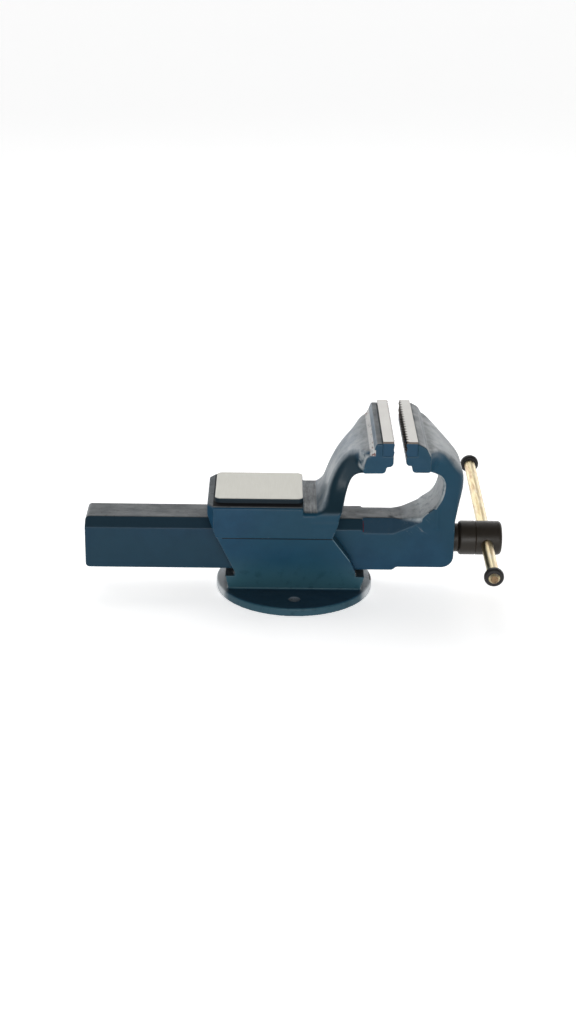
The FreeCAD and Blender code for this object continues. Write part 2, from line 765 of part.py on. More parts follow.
def spindle_blank():
    thread, root = sizes.thread_radius, sizes.thread_radius - sizes.thread_depth
    relief_rear = sizes.journal_rear - sizes.relief_length
    return turned("spindle_blank", [
        (-sizes.thread_rear, 0),
        (-sizes.thread_rear, thread - sizes.thread_lead_in),
        (sizes.thread_lead_in - sizes.thread_rear, thread),
        (relief_rear, thread),
        (relief_rear + sizes.relief_slope, root),
        (sizes.journal_rear, root),
        (sizes.journal_rear, sizes.journal_radius),
        (sizes.head_rear, sizes.journal_radius),
        (sizes.head_rear, sizes.spigot_radius),
        (sizes.spigot_front - sizes.spigot_bevel, sizes.spigot_radius),
        (sizes.spigot_front, sizes.spigot_radius - sizes.spigot_bevel),
        (sizes.spigot_front, 0),
    ], 0, 0, sizes.spindle_level)


def pin_hole(name, radius, place, low, high):
    """An upright hole for a pin, from low to high about the spindle's axis."""
    return cylinder(name, radius + sizes.press_fit, high - low, place, 0, sizes.spindle_level + low)


def head_pin_hole(name):
    """Blind: it is drilled from below and stops above the spindle."""
    return pin_hole(name, sizes.head_pin_radius, sizes.head_pin_place, -THROUGH_SPINDLE,
                    sizes.head_pin_top)


def spindle_head():
    groove = sizes.seam_depth
    seam = sizes.head_rear + sizes.seam_place
    seat = sizes.spigot_radius + sizes.press_fit
    seat_front = sizes.spigot_front + sizes.spigot_spare
    blank = turned("spindle_head_blank", [
        (sizes.head_rear, seat),
        (sizes.head_rear, sizes.head_radius, 3.5),
        (seam - groove, sizes.head_radius),
        (seam, sizes.head_radius - groove),
        (seam + groove, sizes.head_radius),
        (sizes.head_front, sizes.head_radius, 4.5),
        (sizes.head_front, 0),
        (seat_front, 0),
        (seat_front, seat),
    ], 0, 0, sizes.spindle_level)
    reach = THROUGH_SPINDLE.value
    start = handle_direction() * -reach
    cross = cylinder("handle_hole", sizes.bar_radius + sizes.running_fit, 2 * reach, sizes.bar_place,
                     start.y, sizes.spindle_level + start.z, handle_turn())
    return cut("spindle_head", blank, cross, head_pin_hole("head_pin_hole"))


def pin(label, radius, low, high, place):
    """A pin standing upright through the spindle, from low to high about its axis."""
    nose = sizes.pin_nose
    return turned(label, [
        (low, 0),
        (low, radius - nose),
        (low + nose, radius),
        (high - nose, radius),
        (high, radius - nose),
        (high, 0),
    ], place, 0, sizes.spindle_level, Rotation(Vector(0, 1, 0), -90))


def ring(label, bore, radius, low, high, ease):
    return turned(label, [
        (low, bore),
        (low, radius - ease),
        (low + ease, radius),
        (high - ease, radius),
        (high, radius - ease),
        (high, bore),
    ], 0, 0, sizes.spindle_level)


# ---------------------------------------------------------------- handle

def handle_direction():
    tilt = math.radians(sizes.bar_tilt.value)
    return Vector(0, math.cos(tilt), math.sin(tilt))


def handle_turn():
    """Turns +Z onto the handle's direction."""
    return Rotation(Vector(1, 0, 0), sizes.bar_tilt.value - 90)


def along_handle():
    """Turns +X onto the handle's direction."""
    return Rotation(Vector(1, 0, 0), sizes.bar_tilt.value) * Rotation(Vector(0, 0, 1), 90)


def handle_bar():
    """The bar is necked for its two rings, and its ends are bevelled."""
    near_neck = sizes.ring_thick - sizes.bar_near
    far_neck = sizes.bar_far - sizes.ring_thick
    return turned("handle_bar", [
        (-sizes.bar_near - sizes.end_bevel, 0),
        (-sizes.bar_near - sizes.end_bevel, sizes.end_radius),
        (-sizes.bar_near, sizes.neck_radius),
        (near_neck, sizes.neck_radius),
        (near_neck, sizes.bar_radius),
        (far_neck, sizes.bar_radius),
        (far_neck, sizes.neck_radius),
        (sizes.bar_far, sizes.neck_radius),
        (sizes.bar_far + sizes.end_bevel, sizes.end_radius),
        (sizes.bar_far + sizes.end_bevel, 0),
    ], sizes.bar_place, 0, sizes.spindle_level, along_handle())


def handle_ring(label, low):
    high = low + sizes.ring_thick
    bore = sizes.neck_radius + sizes.press_fit
    return turned(label, [
        (low, bore),
        (low, sizes.ring_radius, 3.5),
        (high, sizes.ring_radius, 3.5),
        (high, bore),
    ], sizes.bar_place, 0, sizes.spindle_level, along_handle())


# ---------------------------------------------------------------- the whole vise

def build():
    front_wall = sizes.cavity_front
    keeper_front = front_wall - sizes.washer_thick - sizes.spring_length
    keeper_rear = keeper_front - sizes.keeper_thick
    keeper_middle = keeper_front - sizes.keeper_thick * 0.5
    bore = sizes.journal_radius + sizes.running_fit
    keeper = ring("keeper_blank", bore, sizes.keeper_radius, keeper_rear, keeper_front, 1)
    keeper_hole, keeper_way = (
        pin_hole(name, sizes.keeper_pin_radius, keeper_middle, -THROUGH_SPINDLE, THROUGH_SPINDLE)
        for name in ("keeper_pin_hole", "keeper_pin_way")
    )
    keeper_reach = sizes.keeper_radius - sizes.keeper_pin_sink
    parts = {
        "fixed_body": fixed_body(),
        "fixed_jaw_plate": jaw_plate("fixed_jaw_plate", sizes.fixed_grip, 1),
        "fixed_plate_screws": plate_screws("fixed_plate_screws", sizes.fixed_grip, 1),
        "spindle_nut": spindle_nut(),
        "nut_screws": nut_screws(),
        "nut_washers": nut_washers(),
        "sliding_jaw": sliding_jaw(),
        "sliding_jaw_plate": jaw_plate("sliding_jaw_plate", sliding_grip, -1),
        "sliding_plate_screws": plate_screws("sliding_plate_screws", sliding_grip, -1),
        "spindle_screw": cut("spindle_screw", spindle_blank(), keeper_way, head_pin_hole("head_pin_way")),
        "spindle_head": spindle_head(),
        "head_pin": pin("head_pin", sizes.head_pin_radius, 1 - sizes.head_radius,
                        sizes.head_pin_top - sizes.pin_spare, sizes.head_pin_place),
        "thrust_collar": ring("thrust_collar", bore, sizes.collar_radius, sizes.block_front,
                              sizes.head_rear, 1.2),
        "spring_washer": ring("spring_washer", bore, sizes.keeper_radius + sizes.washer_proud,
                              front_wall - sizes.washer_thick, front_wall, 0.4),
        "spindle_spring": ring("spindle_spring", sizes.spring_radius - sizes.spring_wire,
                               sizes.spring_radius + sizes.spring_wire, keeper_front,
                               front_wall - sizes.washer_thick, sizes.spring_wire * 0.5),
        "spring_keeper": cut("spring_keeper", keeper, keeper_hole),
        "keeper_pin": pin("keeper_pin", sizes.keeper_pin_radius, -keeper_reach, keeper_reach,
                          keeper_middle),
        "handle_bar": handle_bar(),
        "near_handle_ring": handle_ring("near_handle_ring", -sizes.bar_near),
        "far_handle_ring": handle_ring("far_handle_ring", sizes.bar_far - sizes.ring_thick),
    }
    doc.recompute()
    for name, part in parts.items():
        part.Label = name
    return parts


def check(parts):
    for thing in doc.Objects:
        if "Invalid" in thing.State or "Error" in thing.State:
            raise ValueError(f"{thing.Name} did not compute: {thing.State}")
    for name, part in parts.items():
        if part.Shape.isNull() or not part.Shape.isValid() or not part.Shape.Solids:
            raise ValueError(f"{name} has no valid solid")


vise = build()
check(vise)
os.makedirs("parts", exist_ok=True)
for node, part in vise.items():
    part.Shape.exportStep(f"parts/{node}.step")
    print(node, len(part.Shape.Solids), "solid(s)", round(part.Shape.Volume / 1000, 2), "cm3")
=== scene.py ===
import json
import math

import bmesh
import bpy
from mathutils import Matrix, Vector, noise


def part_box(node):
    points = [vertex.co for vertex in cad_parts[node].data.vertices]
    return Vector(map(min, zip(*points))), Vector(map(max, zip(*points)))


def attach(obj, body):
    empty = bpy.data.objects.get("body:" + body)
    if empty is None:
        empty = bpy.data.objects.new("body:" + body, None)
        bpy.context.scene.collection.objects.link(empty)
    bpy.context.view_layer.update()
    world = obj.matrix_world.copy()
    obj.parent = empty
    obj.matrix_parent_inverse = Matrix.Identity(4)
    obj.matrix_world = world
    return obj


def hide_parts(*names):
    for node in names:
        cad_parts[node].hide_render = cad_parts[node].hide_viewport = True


# A bench vise on a pale floor. Everything is in metres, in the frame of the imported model:
# +X runs along the spindle towards its handle, +Y along the jaws, +Z up from the base.

MM = 0.001
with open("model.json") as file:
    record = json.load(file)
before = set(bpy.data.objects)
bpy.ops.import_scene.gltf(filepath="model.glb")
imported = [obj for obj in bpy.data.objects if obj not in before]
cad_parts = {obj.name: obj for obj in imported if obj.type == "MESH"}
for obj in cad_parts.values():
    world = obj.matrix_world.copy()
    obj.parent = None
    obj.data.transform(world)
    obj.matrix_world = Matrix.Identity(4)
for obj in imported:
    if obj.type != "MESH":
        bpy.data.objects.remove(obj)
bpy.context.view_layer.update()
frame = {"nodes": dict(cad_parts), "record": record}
nodes = frame["nodes"]

ROOM_LIGHT = 0.2
SWEEP_LIGHT = 2.6
FLOOR_GLOW = 0.6
FLOOR_REACH = 60.0

TOOTH_PITCH = 8.8 * MM
THREAD_PITCH = 5 * MM
THREAD_DEPTH = 2.5 * MM
SPRING_TURNS = 4.2
CLOSED_TURN = 0.7
SPRING_WIRE = 1.5 * MM
CAST_VOXEL = 0.9 * MM
FLASH_SEED = 3
BAR_TILT = math.radians(4.7)
ANVIL_PAD = Vector((-94.3, -43.5, 120)) * MM, Vector((8.9, 43.5, 127)) * MM


# ---------------------------------------------------------------- camera

def place_camera():
    azimuth, elevation, roll = (math.radians(angle) for angle in (0.542, 22.05, 0.852))
    target = Vector((-8.3, 0, 93.3)) * MM
    distance = 2.1395
    ahead = Vector((
        math.sin(azimuth) * math.cos(elevation),
        math.cos(azimuth) * math.cos(elevation),
        -math.sin(elevation),
    ))
    level = Vector((math.cos(azimuth), -math.sin(azimuth), 0))
    upright = level.cross(ahead)
    right = level * math.cos(roll) + upright * math.sin(roll)
    up = right.cross(ahead)
    data = bpy.data.cameras.new("camera")
    data.lens = 63.09
    data.sensor_width = 36
    camera = bpy.data.objects.new("camera", data)
    turn = Matrix((right, up, -ahead)).transposed().to_4x4()
    camera.matrix_world = Matrix.Translation(target - ahead * distance) @ turn
    bpy.context.collection.objects.link(camera)
    bpy.context.scene.camera = camera


# ---------------------------------------------------------------- material graphs

class Graph:
    """A material whose nodes are added by short calls; every call returns an output socket."""

    def __init__(self, name):
        self.material = bpy.data.materials.new(name)
        self.material.use_nodes = True
        self.tree = self.material.node_tree
        self.tree.nodes.clear()
        self.shader = self.tree.nodes.new("ShaderNodeBsdfPrincipled")
        output = self.tree.nodes.new("ShaderNodeOutputMaterial")
        self.tree.links.new(self.shader.outputs[0], output.inputs[0])
        place = self.tree.nodes.new("ShaderNodeTexCoord")
        self.place = place.outputs["Object"]
        self.facing = place.outputs["Normal"]

    def give(self, socket, value):
        """Link the socket to another one, or set its own value."""
        if isinstance(value, bpy.types.NodeSocket):
            self.tree.links.new(value, socket)
        elif isinstance(value, (tuple, list)) and len(value) == 3 and len(socket.default_value) == 4:
            socket.default_value = (*value, 1.0)
        else:
            socket.default_value = value

    def node(self, kind, inputs, output=0, **settings):
        made = self.tree.nodes.new("ShaderNode" + kind)
        for name, value in settings.items():
            setattr(made, name, value)
        for name, value in inputs.items():
            self.give(made.inputs[name], value)
        return made.outputs[output]

    def set(self, **values):
        """Give the shader's inputs their values; a name's spaces are written as underscores."""
        for name, value in values.items():
            self.give(self.shader.inputs[name.replace("_", " ")], value)

    def math(self, operation, first, second=0.0):
        return self.node("Math", {0: first, 1: second}, operation=operation)

    def axis(self, vector, letter):
        return self.node("SeparateXYZ", {0: vector}, output="XYZ".index(letter))

    def step(self, value, low, high, start=0.0, end=1.0):
        """start below low, end above high, smooth between them."""
        inputs = {"Value": value, "From Min": low, "From Max": high, "To Min": start, "To Max": end}
        return self.node("MapRange", inputs, interpolation_type="SMOOTHSTEP")

    def both(self, *masks):
        """Where every mask is 1."""
        result = masks[0]
        for mask in masks[1:]:
            result = self.math("MULTIPLY", result, mask)
        return result

    def outside(self, mask):
        """1 where the mask is 0."""
        return self.math("SUBTRACT", 1.0, mask)

    def within(self, value, low, high, fade):
        """1 between low and high, 0 beyond them by fade."""
        return self.both(self.step(value, low - fade, low), self.step(value, high, high + fade, 1.0, 0.0))

    def away(self, letter):
        """Distance from the middle plane across this axis."""
        return self.math("ABSOLUTE", self.axis(self.place, letter))

    def mix(self, share, first, second):
        """A colour between two."""
        made = self.tree.nodes.new("ShaderNodeMix")
        made.data_type = "RGBA"
        self.give(made.inputs[0], share)
        self.give(made.inputs[6], first)
        self.give(made.inputs[7], second)
        return made.outputs[2]

    def blend(self, share, first, second):
        """A number between two."""
        made = self.tree.nodes.new("ShaderNodeMix")
        self.give(made.inputs[0], share)
        self.give(made.inputs[2], first)
        self.give(made.inputs[3], second)
        return made.outputs[0]

    def stretched(self, x, y, z):
        """The place scaled along each axis: under 1 draws a pattern out along it."""
        return self.node("Mapping", {"Vector": self.place, "Scale": (x, y, z)})

    def noise(self, scale, detail=3.0, rough=0.5, vector=None, seed=0.0):
        inputs = {"Vector": vector or self.place, "Scale": scale, "Detail": detail,
                  "Roughness": rough, "W": seed}
        return self.node("TexNoise", inputs, noise_dimensions="4D")

    def bump(self, height, depth, strength=1.0, normal=None):
        inputs = {"Height": height, "Distance": depth, "Strength": strength}
        if normal is not None:
            inputs["Normal"] = normal
        return self.node("Bump", inputs)

    def edge_share(self, radius):
        """Near 1 on sharp outside edges, 0 on flats: where paint wears thin, and where an edge highlight is
        painted.
        """
        soft = self.node("Bevel", {"Radius": radius}, samples=4)
        hard = self.node("NewGeometry", {}, output=1)
        dot = self.node("VectorMath", {0: soft, 1: hard}, output=1, operation="DOT_PRODUCT")
        return self.step(dot, 0.99, 0.88)


# ---------------------------------------------------------------- colours

BLUE_DEEP = (0.0036, 0.037, 0.076)
BLUE_OPEN = (0.0050, 0.046, 0.092)
BLUE_FOOT_PAINTED_LIGHT = (0.026, 0.078, 0.102)
BLUE_RIM_PAINTED_LIGHT = (0.024, 0.070, 0.098)
BLUE_BEVEL_PAINTED_LIGHT = (0.026, 0.064, 0.104)
# lighter blue of thin paint on edges, partly a painted edge highlight
BLUE_WORN_AND_HIGHLIGHT = (0.020, 0.075, 0.105)
BLUE_SHADED = (0.0065, 0.021, 0.031)
BLUE_SLANT_PAINTED_SHADE = (0.014, 0.032, 0.046)
BLUE_TAIL = (0.001, 0.004, 0.007)
BLUE_RUN = (0.006, 0.034, 0.052)
BLUE_SHELF = (0.008, 0.026, 0.040)
BLUE_ANVIL_SHADE = (0.006, 0.014, 0.020)
TEAL = (0.0040, 0.042, 0.069)
# grey of dust on the tops, partly a painted sheen
DUST_AND_SHEEN = (0.050, 0.056, 0.056)
DUST_SPOT = (0.012, 0.016, 0.018)
# pale grey: painted highlights and reflections on the arms, and a pale band by the fixed head
PALE_GREY = (0.36, 0.39, 0.40)
# painted glare for the ends of the flange's rim
RIM_GLARE = (0.60, 0.63, 0.65)
EDGE_HIGHLIGHT = (0.16, 0.24, 0.28)
CHIPPED_EDGE = (0.22, 0.25, 0.26)
BEVEL_SPECK = (0.07, 0.09, 0.105)
SCRATCH = (0.14, 0.17, 0.19)
BARE_BOLT_WALL = (0.11, 0.13, 0.15)
BARE_FLASH = (0.50, 0.50, 0.49)
# near black: painted shade in creases and corners, and a small dark mark on the rim
NEAR_BLACK = (0.007, 0.007, 0.008)
RUST = (0.11, 0.022, 0.016)
RED_MARK = (0.11, 0.010, 0.018)
PAD_STEEL = (0.30, 0.295, 0.265), (0.36, 0.355, 0.325)
PLATE_STEEL = (0.32, 0.315, 0.30), (0.41, 0.40, 0.38)
PLATE_STAIN = (0.31, 0.30, 0.285)
TOOTH_DARK = (0.050, 0.040, 0.034)
TOOTH_BROWN = (0.085, 0.035, 0.028)
PLATE_END = (0.10, 0.085, 0.075)
OIL_STAIN = (0.1, 0.07, 0.04)
EDGE_RUB = (0.07, 0.05, 0.04)
ZINC = (0.42, 0.33, 0.17), (0.68, 0.60, 0.40)
ZINC_STAIN = (0.33, 0.19, 0.12)
ZINC_PALE = (0.58, 0.56, 0.50)
BAR_END = (0.24, 0.16, 0.09), (0.12, 0.08, 0.05)

ENAMEL_SPECULAR = 0.20
BLACK_SPECULAR = 0.28


# ---------------------------------------------------------------- materials

class Enamel(Graph):
    """Blue enamel on a rough casting: a colour and a roughness that each mark is laid over."""

    def __init__(self, name):
        super().__init__(name)
        cloud = self.step(self.noise(38, 4, 0.6), 0.3, 0.7)
        paint = self.mix(cloud, BLUE_DEEP, BLUE_OPEN)
        self.colour = self.mix(self.step(self.noise(9, 2, seed=5.0), 0.35, 0.65, 0.0, 0.6), paint, TEAL)
        self.rough = self.blend(cloud, 0.30, 0.40)
        self.metal = 0.0
        lumps = self.math("MULTIPLY", self.noise(65, 2, seed=4.0), 0.9)
        self.lumps = self.math("MULTIPLY_ADD", self.noise(210, 3, 0.55, seed=6.0), 0.35)
        self.tree.links.new(lumps, self.lumps.node.inputs[2])
        self.upward = self.axis(self.facing, "Z")
        self.top = self.step(self.upward, 0.80, 0.95)

    def region(self, fade=1.0, **limits):
        """A box given in millimetres, as X=(low, high); far_Y counts from the middle both ways."""
        masks = []
        for name, (low, high) in limits.items():
            value = self.away(name[-1]) if name.startswith("far_") else self.axis(self.place, name)
            masks.append(self.within(value, low * MM, high * MM, fade * MM))
        return self.both(*masks)

    def speckle(self, scale, low, high, seed, vector=None):
        """Spots where a noise passes from low to high."""
        return self.step(self.noise(scale, 4, 0.65, vector, seed), low, high)

    def lay(self, mask, colour, share=1.0, rough=None):
        """Cover what is under the mask, up to a share of it, and change its roughness if one is given."""
        if share != 1.0:
            mask = self.math("MULTIPLY", mask, share)
        self.colour = self.mix(mask, self.colour, colour)
        if rough is not None:
            self.rough = self.blend(mask, self.rough, rough)

    def settle_dust_and_sheen(self):
        """Tops go greyer and blotchy, with dust and a painted sheen; their gloss comes and goes."""
        blotch = self.speckle(70, 0.30, 0.70, 12.0, self.stretched(0.5, 1.0, 1.0))
        raised = self.both(self.top, self.step(self.axis(self.place, "Z"), 12 * MM, 14 * MM, 0.3, 1.0))
        # dust on the tops, partly a painted sheen standing in for the light they catch
        self.lay(raised, DUST_AND_SHEEN, 0.75)
        spots = self.both(raised, self.speckle(190, 0.55, 0.66, 15.0))
        self.lay(spots, DUST_SPOT, 0.8)
        self.rough = self.blend(self.both(self.top, blotch), self.rough, 0.56)

    def wear_and_highlight_edges(self):
        """Corners show thin paint and a painted highlight, with small chips and a few rust spots."""
        edge = self.edge_share(2.6 * MM)
        # thin paint along the edges, partly a painted highlight on them
        self.lay(edge, BLUE_WORN_AND_HIGHLIGHT, 0.6)
        self.lay(self.both(edge, self.speckle(260, 0.54, 0.62, 7.0)), CHIPPED_EDGE, 0.7, 0.45)
        self.lay(self.both(edge, self.speckle(90, 0.66, 0.70, 11.0)), RUST)

    def finish(self):
        fine = self.noise(420, 3, 0.6, seed=2.0)
        normal = self.bump(fine, 0.06 * MM, 0.6, self.bump(self.lumps, 0.55 * MM, 0.8))
        self.set(Base_Color=self.colour, Roughness=self.rough, Metallic=self.metal, Normal=normal,
                 Specular_IOR_Level=ENAMEL_SPECULAR)
        return self.material


def mark_fixed_arm(graph, side):
    """Painted shade on the sides, a pale band by the head, painted highlight streaks beside the anvil and a
    painted reflection along the back.
    """
    shaded = graph.both(side, graph.region(5, X=(12, 84), Z=(116, 190), far_Y=(0, 62)))
    graph.lay(shaded, BLUE_SHADED, 0.92)
    # a pale band on the flare by the head
    band = graph.region(3, X=(73.5, 83), Z=(160, 190), far_Y=(43, 70))
    graph.lay(graph.both(band, graph.speckle(90, 0.30, 0.60, 21.0)), PALE_GREY, 0.85, 0.5)
    # painted highlight: pale streaks in the saddle beside the anvil
    saddle = graph.both(graph.top, graph.region(1.5, X=(9, 27), Z=(112, 117)))
    streaks = graph.speckle(240, 0.40, 0.62, 22.0, graph.stretched(1.0, 0.15, 1.0))
    graph.lay(graph.both(saddle, streaks), PALE_GREY, 0.30)
    # painted reflection: pale clouds along the arm's back, as it reflects the bright studio
    back = graph.both(graph.region(4, X=(20, 86), Z=(118, 200)), graph.outside(side),
                      graph.step(graph.upward, 0.0, 0.3))
    clouds = graph.speckle(60, 0.22, 0.66, 23.0, graph.stretched(1.0, 0.7, 0.4))
    graph.lay(graph.both(back, clouds), PALE_GREY, 0.52)
    flash = graph.region(0.8, X=(83.6, 89.0), Z=(193.6, 200.0))
    graph.lay(graph.both(flash, graph.speckle(150, 0.28, 0.44, 24.0)), BARE_FLASH, 0.9, 0.55)
    graph.lay(graph.both(flash, graph.speckle(130, 0.56, 0.62, 25.0)), RUST, 0.9)


def mark_base(graph, side):
    """Painted light low on the pedestal and on the flange's rim, painted glare on the rim's ends, a painted
    highlight along an edge, and bare bolt holes.
    """
    # painted light: the pedestal's sides lighter low down, where the flange shades them
    foot = graph.both(side, graph.step(graph.axis(graph.place, "Z"), 64 * MM, 18 * MM))
    graph.lay(foot, BLUE_FOOT_PAINTED_LIGHT, 0.9)
    # painted light on the flange's rim walls
    wall = graph.both(graph.region(1, Z=(-9, 10)), graph.step(graph.upward, 0.3, 0.8, 1.0, 0.0))
    graph.lay(wall, BLUE_RIM_PAINTED_LIGHT, 0.7)
    # painted glare: the ends of the flange's rim nearly white, where they catch the bright room
    rim = graph.both(graph.region(9, far_X=(86, 120), Z=(-9, 12)),
                     graph.step(graph.upward, -0.5, -0.1), graph.speckle(55, 0.20, 0.50, 27.0))
    graph.lay(rim, RIM_GLARE, 0.88)
    # a small dark mark at the end of the flange's rim
    dark_spot = graph.region(0.8, X=(91.2, 95), Y=(-8, 20), Z=(3, 12))
    graph.lay(dark_spot, NEAR_BLACK, 0.9, 0.6)
    # painted highlight: a pale line along the slanted edge low on the body's sides
    outward = (0.823, 0, 0.568)
    reach = graph.node("VectorMath", {0: graph.place, 1: outward}, output=1, operation="DOT_PRODUCT")
    wall_edge = graph.both(side, graph.region(1, Z=(44, 80)), graph.step(reach, 81.2 * MM, 81.9 * MM))
    graph.lay(wall_edge, EDGE_HIGHLIGHT, 0.8)
    graph.lay(graph.both(foot, graph.speckle(110, 0.52, 0.64, 26.0)), BLUE_RUN, 0.5)
    bolt_wall = graph.both(graph.region(1, far_X=(0, 7), far_Y=(59, 73.6), Z=(-5, 10.2)),
                           graph.outside(graph.top))
    graph.lay(bolt_wall, BARE_BOLT_WALL, 0.9)


def mark_housing(graph):
    """Painted shade in the line round the waist and in the corners round the anvil."""
    # painted shade: a dark line under the overhang round the waist
    waist = graph.region(0.4, X=(-85, 43.2), Z=(80.5, 82.0), far_Y=(50, 60))
    graph.lay(waist, NEAR_BLACK, 0.9, 0.7)
    # painted shade on the anvil's sides
    anvil_side = graph.region(0.4, X=(-96, 10.5), far_Y=(0, 45), Z=(120.8, 126.2))
    graph.lay(anvil_side, BLUE_ANVIL_SHADE, 0.9, 0.6)
    # painted shade on the ledge and the shelf round the anvil's foot
    ledge = graph.region(1.2, X=(-95.5, 12), far_Y=(0, 51.5), Z=(119.9, 121.0))
    graph.lay(ledge, NEAR_BLACK, 0.95, 0.9)
    shelf = graph.region(1.0, X=(-120, -96.5), Z=(119.6, 121.0))
    graph.lay(shelf, BLUE_SHELF, 0.45, 0.6)


def grind_pad(graph, low, high):
    """Bare ground steel on the anvil's top, between two corners."""
    masks = [graph.step(graph.axis(graph.place, "Z"), high.z - 0.5 * MM, high.z - 0.2 * MM)]
    for letter, near, far in zip("XY", low, high):
        masks.append(graph.within(graph.axis(graph.place, letter), near, far, 1 * MM))
    pad = graph.both(*masks)
    grain = graph.noise(900, 2, 0.6, graph.stretched(1.0, 0.06, 1.0), 8.0)
    graph.lay(pad, graph.mix(grain, *PAD_STEEL), rough=graph.step(grain, 0.2, 0.8, 0.38, 0.52))
    graph.metal = pad
    graph.lumps = graph.both(graph.lumps, graph.outside(pad))


def fixed_enamel(pad_low, pad_high):
    """Enamel of the fixed casting, with the ground pad of its anvil between two corners."""
    graph = Enamel("fixed_enamel")
    graph.settle_dust_and_sheen()
    graph.wear_and_highlight_edges()
    side = graph.step(graph.math("ABSOLUTE", graph.axis(graph.facing, "Y")), 0.35, 0.75)
    mark_fixed_arm(graph, side)
    mark_base(graph, side)
    mark_housing(graph)
    grind_pad(graph, pad_low, pad_high)
    return graph.finish()


def sliding_enamel():
    """Enamel of the sliding casting: its tail darker, painted shade and light on its slants, its block
    scratched, painted light on its throat and a painted reflection on its arm's back.
    """
    graph = Enamel("sliding_enamel")
    along = graph.axis(graph.place, "X")
    # the tail darker towards its rear end
    graph.lay(graph.step(along, -60 * MM, 60 * MM, 0.30, 0.0), BLUE_TAIL)
    # painted shade on the slanted faces
    slant = graph.within(graph.upward, 0.45, 0.85, 0.15)
    graph.lay(slant, BLUE_SLANT_PAINTED_SHADE, 0.8)
    # painted light on the block's bevels, lighter than the other slants
    bevel = graph.both(slant, graph.region(0.5, X=(80.5, 150), Z=(76, 95)))
    graph.lay(bevel, BLUE_BEVEL_PAINTED_LIGHT, 0.9, 0.5)
    graph.lay(graph.both(bevel, graph.speckle(230, 0.54, 0.70, 31.0)), BEVEL_SPECK, 0.45)
    graph.settle_dust_and_sheen()
    graph.wear_and_highlight_edges()
    # painted light: the throat's inner face pale, as it is lit
    foot_step = graph.region(0.8, X=(157, 176), far_Y=(30.2, 60), Z=(80, 111))
    throat = graph.both(graph.region(5, X=(128, 176), Z=(97, 162)), graph.outside(foot_step),
                        graph.step(graph.axis(graph.facing, "X"), -0.14, -0.34),
                        graph.speckle(130, 0.15, 0.58, 34.0))
    graph.lay(throat, PALE_GREY, 0.85, 0.5)
    # painted reflection: pale clouds on the arm's back, as it reflects the bright studio
    arm_back = graph.both(graph.region(5, X=(152, 200), Z=(150, 206)),
                          graph.step(graph.upward, 0.05, 0.45), graph.speckle(60, 0.15, 0.62, 35.0))
    graph.lay(arm_back, PALE_GREY, 0.55)
    turned = graph.node("Mapping", {"Vector": graph.place, "Rotation": (0, -0.75, 0)})
    fine = graph.node("Mapping", {"Vector": turned, "Scale": (0.10, 1.0, 1.0)})
    patch = graph.region(8, X=(132, 154), Z=(85, 96))
    graph.lay(graph.both(patch, graph.speckle(520, 0.54, 0.66, 32.0, fine)), SCRATCH, 0.5)
    mark = graph.region(0.4, X=(80.2, 81.1), Y=(-40, -12), Z=(81.5, 91))
    graph.lay(graph.both(mark, graph.speckle(260, 0.30, 0.50, 33.0)), RED_MARK, 0.8)
    return graph.finish()


def jaw_steel(name, grip, side, top, paint_drop, tooth_grime):
    """A ground plate: dark hardened teeth on the gripping side and paint on its two ends.

    tooth_grime is how far the dirt of the hollows between the teeth reaches onto the top.
    """
    graph = Graph(name)
    across = graph.axis(graph.place, "X")
    depth = graph.math("MULTIPLY", graph.math("SUBTRACT", across, grip), -side)
    teeth = graph.step(depth, 1.55 * MM, 1.85 * MM, 1.0, 0.0)
    swing = graph.math("PINGPONG", graph.axis(graph.place, "Y"), TOOTH_PITCH / 2)
    hollow = graph.math("MULTIPLY_ADD", swing, 2 * tooth_grime / TOOTH_PITCH)
    hollow.node.inputs[2].default_value = 0.3 * MM
    gap = graph.step(graph.math("SUBTRACT", depth, hollow), -0.1 * MM, 0.3 * MM, 1.0, 0.0)
    up = graph.step(graph.axis(graph.facing, "Z"), 0.8, 0.9)
    end = graph.step(graph.math("ABSOLUTE", graph.axis(graph.facing, "Y")), 0.8, 0.9)
    low_down = graph.step(graph.axis(graph.place, "Z"), top - paint_drop, top - paint_drop + 0.3 * MM,
                          1.0, 0.0)
    grain = graph.noise(1100, 2, 0.6, graph.stretched(1.0, 0.05, 1.0), 3.0)
    steel = graph.mix(grain, *PLATE_STEEL)
    colour = graph.mix(graph.noise(60, 3, seed=1.0), steel, PLATE_STAIN)
    dark = graph.blend(up, teeth, gap)
    low_share = graph.step(graph.axis(graph.place, "Z"), top - 18 * MM, top - 8 * MM, 0.8, 0.0)
    brown = graph.mix(low_share, TOOTH_DARK, TOOTH_BROWN)
    colour = graph.mix(dark, colour, brown)
    strip = graph.both(end, graph.outside(low_down))
    colour = graph.mix(strip, colour, PLATE_END)
    painted = graph.both(end, low_down)
    paint = graph.mix(graph.noise(40, 3, seed=6.0), BLUE_DEEP, BLUE_OPEN)
    colour = graph.mix(painted, colour, paint)
    rough = graph.blend(painted, graph.blend(dark, 0.42, 0.5), 0.34)
    metal = graph.outside(painted)
    normal = graph.bump(grain, 0.03 * MM, 0.5)
    graph.set(Base_Color=colour, Roughness=rough, Metallic=metal, Normal=normal,
              Specular_IOR_Level=ENAMEL_SPECULAR)
    return graph.material


def turned_metal(name, dark, light, rough_low, rough_high):
    """Metal with fine tool marks and faint staining."""
    graph = Graph(name)
    marks = graph.noise(900, 2, 0.6)
    patches = graph.step(graph.noise(45, 4, 0.6, seed=2.0), 0.4, 0.7)
    colour = graph.mix(marks, dark, light)
    colour = graph.mix(graph.math("MULTIPLY", patches, 0.25), colour, OIL_STAIN)
    graph.set(Base_Color=colour, Metallic=1.0, Roughness=graph.step(marks, 0.3, 0.7, rough_low, rough_high),
              Normal=graph.bump(marks, 0.02 * MM, 0.5))
    return graph.material


